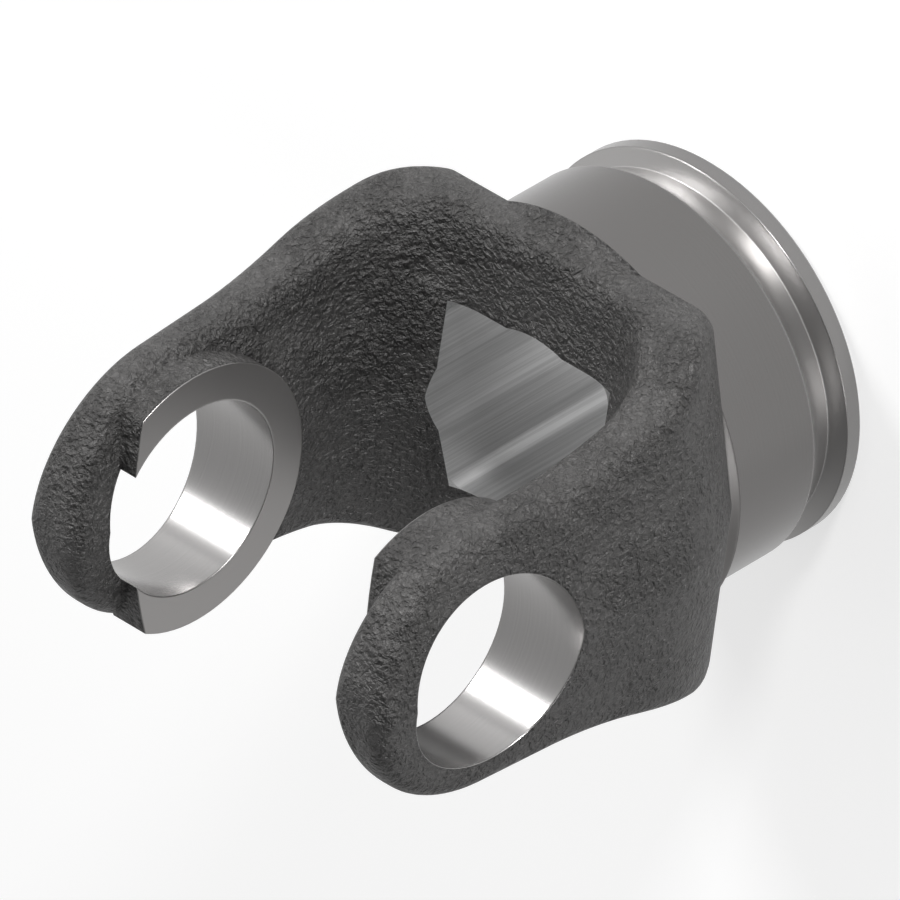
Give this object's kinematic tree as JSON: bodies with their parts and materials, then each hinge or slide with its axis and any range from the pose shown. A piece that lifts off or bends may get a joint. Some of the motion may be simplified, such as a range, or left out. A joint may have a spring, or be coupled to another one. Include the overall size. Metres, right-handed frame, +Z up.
{
  "type": "forged end yoke",
  "caption": "Two-eared driveline yoke: fork with round cup bores on a turned hub with a square bore and a shield groove.",
  "frame": {"origin": "centre of the hub's end face, on the shaft axis", "axes": "+Z up the shaft axis from the hub's end face to the fork, +X along the cup bores, +Y along the way the forging dies part"},
  "size_m": [0.0712, 0.0586, 0.0894],
  "materials": {
    "forged_steel": "dark forged skin, bright where machined"
  },
  "bodies": {
    "root": {"forged_yoke": "forged_steel"}
  },
  "joints": []
}
